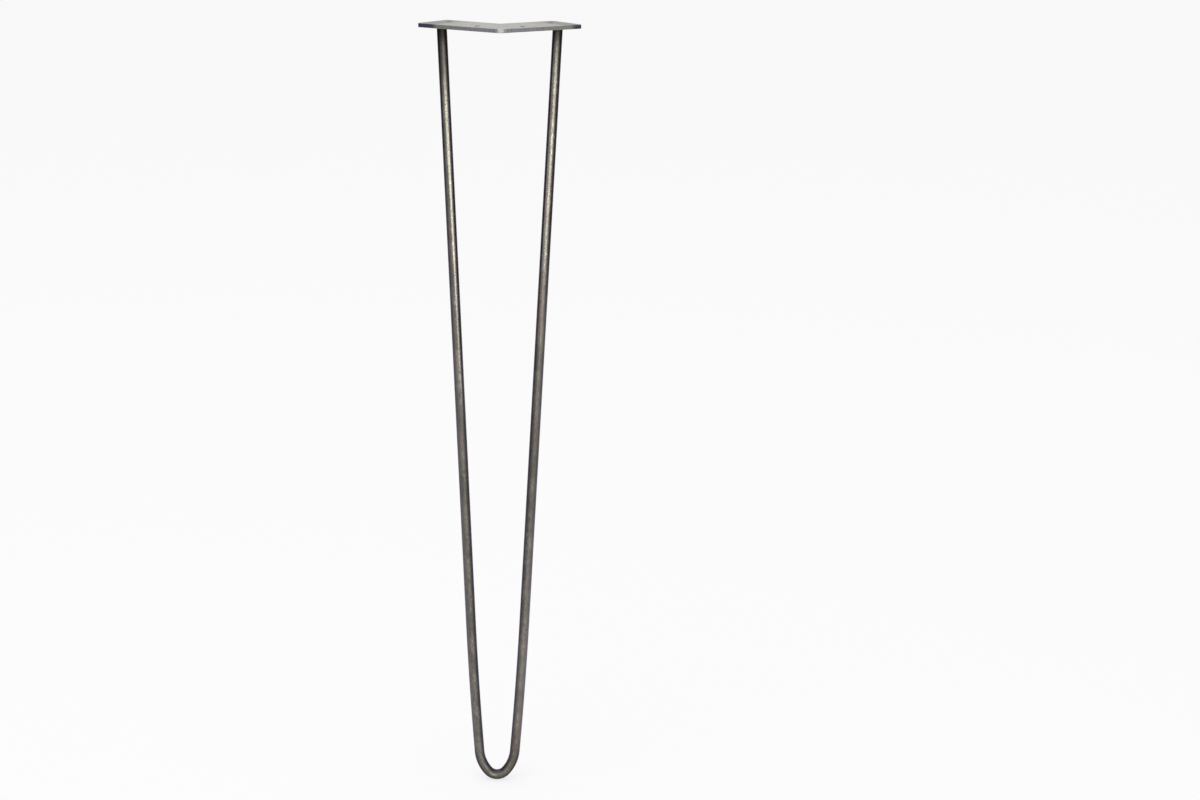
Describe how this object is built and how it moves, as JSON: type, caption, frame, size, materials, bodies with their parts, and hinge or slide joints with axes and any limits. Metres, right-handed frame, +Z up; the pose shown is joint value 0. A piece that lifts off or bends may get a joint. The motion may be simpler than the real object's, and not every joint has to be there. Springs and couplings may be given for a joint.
{
  "type": "hairpin table leg",
  "caption": "Hairpin table leg: a round steel bar bent into a narrow U and welded under a V-shaped plate with screw holes, to carry the corner of a table top.",
  "frame": {"origin": "on the plate's mounting face, where the centre lines of its two arms meet", "axes": "+Z up out of the mounting face into the table top, X across the two rods, -Y out of the table's corner, the way the leg splays"},
  "size_m": [0.16, 0.1197, 0.762],
  "materials": {
    "plate_steel": "bare hot-rolled flat steel, satin grey with dark scale left at the ends of the arms",
    "rod_steel": "bare round bar, grey to olive brown, with drawing marks along its length",
    "weld_metal": "rippled weld bead, dark and heat stained"
  },
  "bodies": {
    "root": {"mounting_plate": "plate_steel", "bent_rod": "rod_steel", "left_weld": "weld_metal", "right_weld": "weld_metal"}
  },
  "joints": []
}
